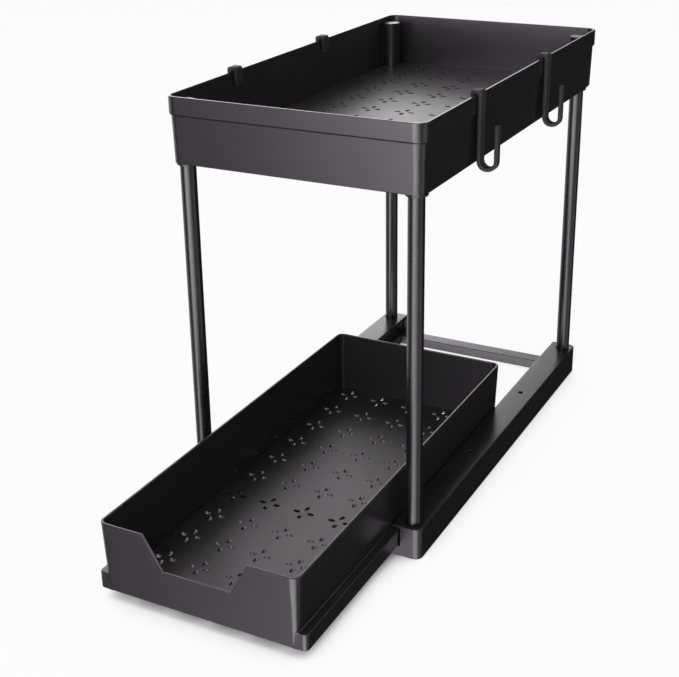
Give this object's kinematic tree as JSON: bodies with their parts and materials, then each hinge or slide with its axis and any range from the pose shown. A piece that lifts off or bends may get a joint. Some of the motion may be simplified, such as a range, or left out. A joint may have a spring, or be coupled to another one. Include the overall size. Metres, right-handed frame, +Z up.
{
  "type": "under sink organizer",
  "caption": "Tiered under-sink organizer: perforated upper tray on tube posts, a low rail base, a scooped drawer that slides out, and J hooks that slide along the rim.",
  "frame": {"origin": "middle, on the floor, of the box around the whole object with the drawer pulled out as at rest", "axes": "+Z up; +Y from the drawer's front to the back, along the long side; +X to the right as seen from the front"},
  "size_m": [0.235, 0.5224, 0.3336],
  "materials": {
    "tray_black": "satin black injection-moulded plastic",
    "drawer_black": "satin black injection-moulded plastic",
    "rail_black": "fine matt black injection-moulded plastic",
    "post_black": "smooth black tube, slightly glossy",
    "hook_black": "satin black moulded plastic"
  },
  "bodies": {
    "frame": {"upper_tray": "tray_black", "upper_tray_floor": "tray_black", "rail_left": "rail_black", "rail_right": "rail_black", "front_tie": "rail_black", "rear_tie": "rail_black", "post_front_left": "post_black", "post_front_right": "post_black", "post_rear_left": "post_black", "post_rear_right": "post_black"},
    "drawer": {"drawer": "drawer_black", "drawer_floor": "drawer_black"},
    "hook_front_left": {"hook_front_left": "hook_black"},
    "hook_front_right": {"hook_front_right": "hook_black"},
    "hook_rear_left": {"hook_rear_left": "hook_black"},
    "hook_rear_right": {"hook_rear_right": "hook_black"}
  },
  "joints": [
    {"name": "drawer_slide", "type": "slide", "parent": "frame", "child": "drawer", "axis": [0, 1, 0], "range_m": [-0.045, 0.1425]},
    {"name": "hook_front_left_slide", "type": "slide", "parent": "frame", "child": "hook_front_left", "axis": [0, 1, 0], "range_m": [-0.06, 0.05]},
    {"name": "hook_front_right_slide", "type": "slide", "parent": "frame", "child": "hook_front_right", "axis": [0, 1, 0], "range_m": [-0.06, 0.05]},
    {"name": "hook_rear_left_slide", "type": "slide", "parent": "frame", "child": "hook_rear_left", "axis": [0, 1, 0], "range_m": [-0.05, 0.1]},
    {"name": "hook_rear_right_slide", "type": "slide", "parent": "frame", "child": "hook_rear_right", "axis": [0, 1, 0], "range_m": [-0.05, 0.1]}
  ]
}
